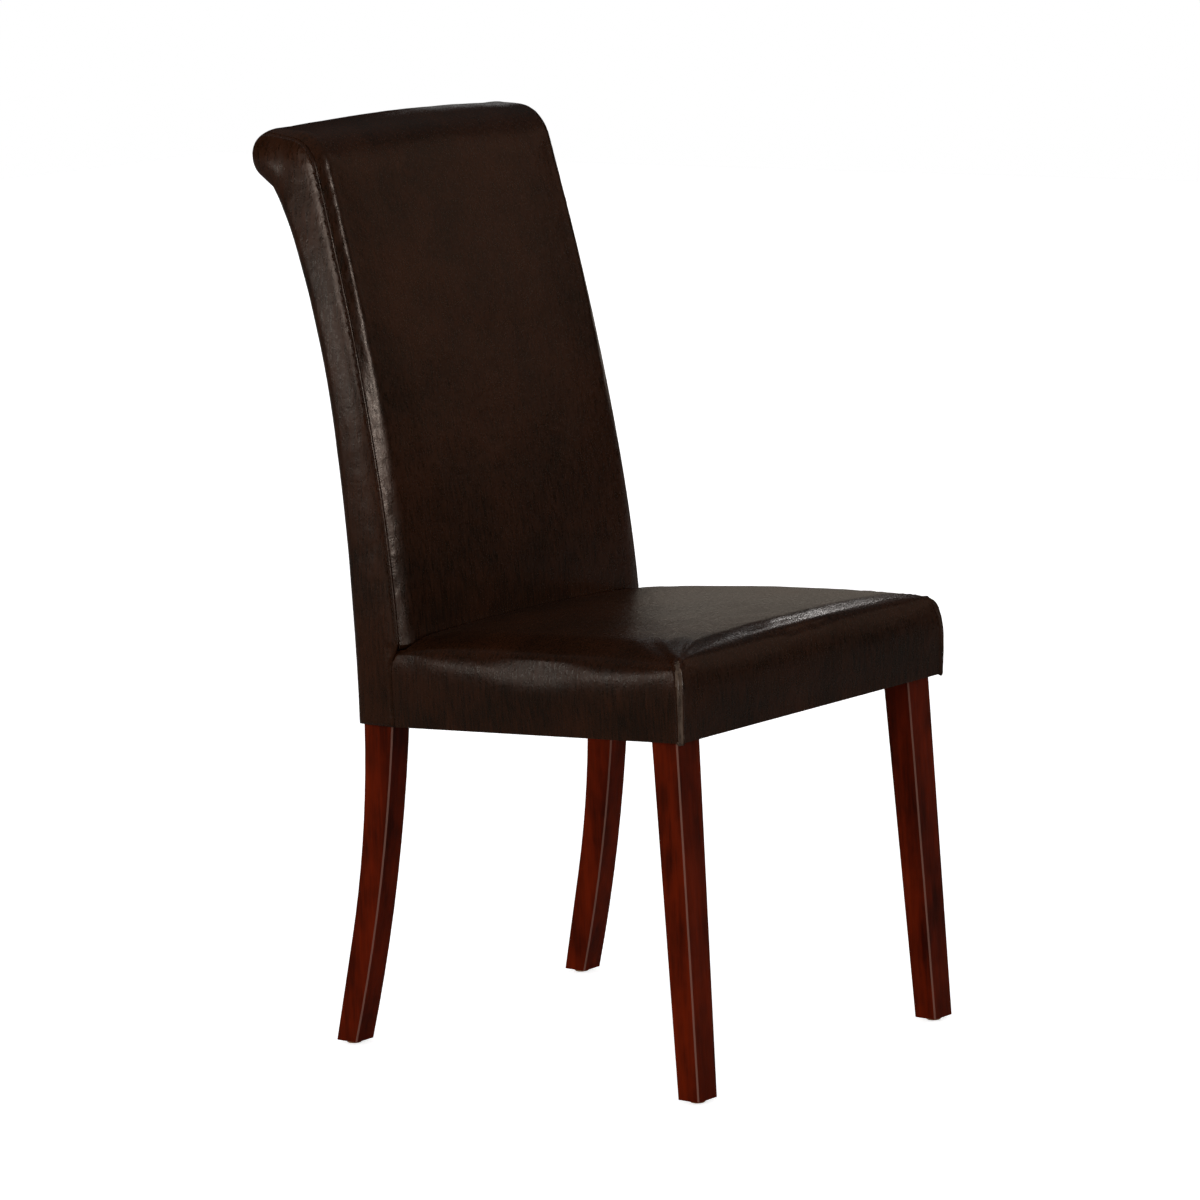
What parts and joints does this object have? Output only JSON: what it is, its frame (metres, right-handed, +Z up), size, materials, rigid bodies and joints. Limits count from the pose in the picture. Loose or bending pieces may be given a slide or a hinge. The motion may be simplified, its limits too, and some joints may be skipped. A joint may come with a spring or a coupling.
{
  "type": "side chair",
  "caption": "Armless upholstered side chair with a tall scroll back, boxed padded seat, tapered front legs and swept rear legs.",
  "frame": {"origin": "on the floor, in the middle of the chair's outline seen from above", "axes": "+Z up, the sitter faces -Y, the sitter's left is +X"},
  "size_m": [0.4692, 0.6151, 1.0294],
  "materials": {
    "cherry_wood": "semi-gloss stain",
    "leather": "semi-gloss",
    "frame_wood": "raw",
    "nylon": "satin",
    "screw_steel": "zinc plated",
    "foam": "matte foam",
    "webbing": "woven",
    "board": "matte",
    "dust_cloth": "matte"
  },
  "bodies": {
    "root": {"back_foam": "foam", "back_rail_crest": "frame_wood", "back_rail_lower": "frame_wood", "back_webbing": "webbing", "corner_block_front_left": "frame_wood", "corner_block_front_right": "frame_wood", "corner_block_rear_left": "frame_wood", "corner_block_rear_right": "frame_wood", "corner_block_screws": "screw_steel", "dust_cover": "dust_cloth", "front_leg_left": "cherry_wood", "front_leg_right": "cherry_wood", "glide_front_left": "nylon", "glide_front_right": "nylon", "glide_rear_left": "nylon", "glide_rear_right": "nylon", "inside_back_cover": "leather", "outside_back_board": "board", "outside_back_cover": "leather", "rear_post_left": "cherry_wood", "rear_post_right": "cherry_wood", "scroll_board": "board", "scroll_rail": "frame_wood", "seat_border_wadding": "foam", "seat_cover": "leather", "seat_foam": "foam", "seat_rail_front": "frame_wood", "seat_rail_left": "frame_wood", "seat_rail_rear": "frame_wood", "seat_rail_right": "frame_wood", "seat_webbing_cross": "webbing", "seat_webbing_long": "webbing", "side_panel_left": "leather", "side_panel_right": "leather", "side_wadding_left": "foam", "side_wadding_right": "foam"}
  },
  "joints": []
}
